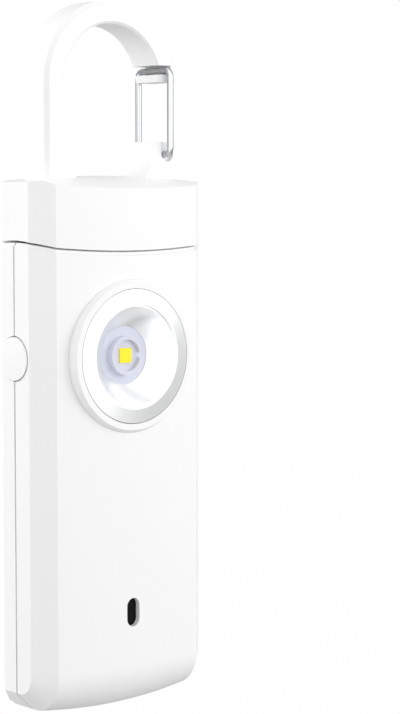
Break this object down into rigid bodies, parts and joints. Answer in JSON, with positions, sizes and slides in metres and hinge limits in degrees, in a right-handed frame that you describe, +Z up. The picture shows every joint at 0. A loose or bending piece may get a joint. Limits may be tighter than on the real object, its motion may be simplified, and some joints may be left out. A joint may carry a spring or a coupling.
{
  "type": "personal_safety_alarm",
  "caption": "Slim white personal alarm with a torch, a side button and a carabiner-hook cap that pulls off to sound the siren",
  "frame": {"origin": "Centre of the hook's arch, on the middle plane of the hook and the parting plane of the body", "axes": "+Z up along the length from body to hook, +X right seen from the front, front towards -Y"},
  "size_m": [0.0304, 0.013, 0.098],
  "materials": {
    "white_shell": "satin white moulding",
    "white_inner": "plain white moulding",
    "black_rubber": "soft seal",
    "bright_metal": "plated",
    "screw_steel": "plated",
    "chrome_wire": "bright drawn wire",
    "reflector_white": "smooth pale collar and bowl",
    "clear_window": "clear",
    "led_white": "pale solder mask",
    "led_package": "white package",
    "phosphor_yellow": "soft yellow phosphor",
    "contact_brass": "bare",
    "black_plastic": "plain black",
    "board_green": "solder mask",
    "ferrite_dark": "dark ferrite",
    "foil_silver": "foil pouch",
    "foam_pale": "foam tape",
    "ceramic_pale": "fired ceramic",
    "mesh_black": "fine black mesh"
  },
  "bodies": {
    "hook_cap": {"pull_cap": "white_shell", "stem_plate": "white_inner", "stem_seal": "black_rubber", "stem_magnet": "bright_metal", "cap_screws": "screw_steel"},
    "gate": {"gate_wire": "chrome_wire"},
    "housing": {"front_cover": "white_shell", "rear_cover": "white_shell", "lens_bezel": "white_shell", "reflector": "reflector_white", "lens_window": "clear_window", "led_board": "led_white", "led_base": "led_package", "led_phosphor": "phosphor_yellow", "led_pins": "contact_brass", "tact_switch": "bright_metal", "main_board": "board_green", "controller_chip": "black_plastic", "boost_coil": "ferrite_dark", "pull_sensor": "black_plastic", "pin_socket": "white_inner", "battery_cell": "foil_silver", "battery_pad": "foam_pale", "battery_tabs": "bright_metal", "charge_port": "bright_metal", "siren_disc": "contact_brass", "siren_ceramic": "ceramic_pale", "siren_cup": "black_plastic", "sound_mesh": "mesh_black", "case_screws": "screw_steel"},
    "button": {"side_button": "white_shell", "switch_plunger": "black_plastic"}
  },
  "joints": [
    {"name": "pull_off", "type": "slide", "parent": "hook_cap", "child": "housing", "axis": [0, 0, -1], "range_m": [0, 0.012]},
    {"name": "gate_swing", "type": "hinge", "parent": "hook_cap", "child": "gate", "pos_m": [0.00964, 0, -0.0093], "axis": [0, -1, 0], "range_deg": [0, 35], "stiffness_Nm_per_rad": 0.02, "springref_deg": -5.73},
    {"name": "button_press", "type": "slide", "parent": "housing", "child": "button", "axis": [1, 0, 0], "range_m": [0, 0.0005], "stiffness_N_per_m": 1000}
  ]
}
